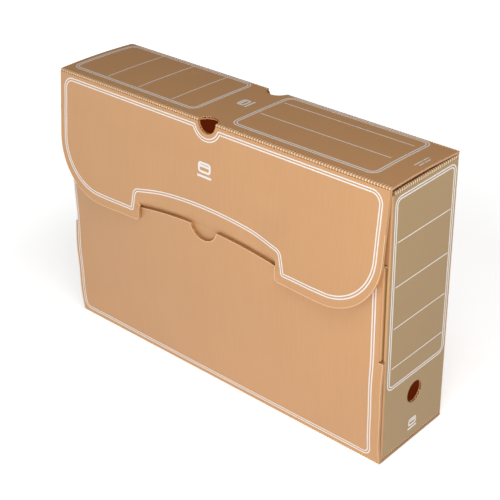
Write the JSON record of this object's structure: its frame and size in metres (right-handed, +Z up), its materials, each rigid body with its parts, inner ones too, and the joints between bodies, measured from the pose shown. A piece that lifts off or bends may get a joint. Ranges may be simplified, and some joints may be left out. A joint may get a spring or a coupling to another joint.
{
  "type": "archival box",
  "caption": "Flat-packing archival storage box of fluted plastic sheet, with a hinged lid, a closure flap that locks in a front slit, and inner flaps.",
  "frame": {"origin": "middle of the underside, on the plane the box stands on", "axes": "+X along the box's length to its right end, -Y out of the front where the closure flap is, +Z up"},
  "size_m": [0.39, 0.1088, 0.2745],
  "materials": {
    "sheet_outside": "satin tan twin-wall plastic sheet, faint vertical flutes, white screen print",
    "sheet_inside": "satin tan twin-wall plastic sheet, unprinted inner side",
    "crease": "pressed crease with a row of pillowed flutes, lighter and glossier"
  },
  "bodies": {
    "tray": {"bottom_panel": "sheet_outside", "back_panel": "sheet_outside", "front_panel": "sheet_outside", "bottom_front_fold": "crease", "bottom_rear_fold": "crease", "end_panel_left": "sheet_outside", "front_flange_left": "sheet_inside", "front_tab_left": "sheet_inside", "bottom_flap_left": "sheet_inside", "back_fold_left": "crease", "front_fold_left": "crease", "bottom_flap_fold_left": "crease", "dust_fold_left": "crease", "tab_fold_left": "crease", "lid_rear_fold_left": "crease", "end_panel_right": "sheet_outside", "front_flange_right": "sheet_inside", "front_tab_right": "sheet_inside", "bottom_flap_right": "sheet_inside", "back_fold_right": "crease", "front_fold_right": "crease", "bottom_flap_fold_right": "crease", "dust_fold_right": "crease", "tab_fold_right": "crease", "lid_rear_fold_right": "crease"},
    "lid": {"lid_panel": "sheet_outside", "lid_front_fold_left": "crease", "lid_front_fold_right": "crease"},
    "flap": {"closure_flap": "sheet_outside", "locking_tongue": "sheet_outside"},
    "dust_left": {"dust_flap_left": "sheet_inside"},
    "dust_right": {"dust_flap_right": "sheet_inside"}
  },
  "joints": [
    {"name": "lid_hinge", "type": "hinge", "parent": "tray", "child": "lid", "pos_m": [0, 0.04615, 0.27065], "axis": [-1, 0, 0], "range_deg": [0, 180], "deforming": ["locking_tongue"]},
    {"name": "flap_hinge", "type": "hinge", "parent": "lid", "child": "flap", "pos_m": [0, -0.04615, 0.27315], "axis": [-1, 0, 0], "range_deg": [0, 180], "deforming": ["locking_tongue"]},
    {"name": "dust_flap_left_hinge", "type": "hinge", "parent": "tray", "child": "dust_left", "pos_m": [-0.19365, 0, 0.26775], "axis": [0, -1, 0], "range_deg": [0, 90]},
    {"name": "dust_flap_right_hinge", "type": "hinge", "parent": "tray", "child": "dust_right", "pos_m": [0.19365, 0, 0.26775], "axis": [0, 1, 0], "range_deg": [0, 90]}
  ],
  "couplings": [
    {"joint": "dust_flap_left_hinge", "follows": "lid_hinge", "ratio": 0.5},
    {"joint": "dust_flap_right_hinge", "follows": "lid_hinge", "ratio": 0.5}
  ]
}
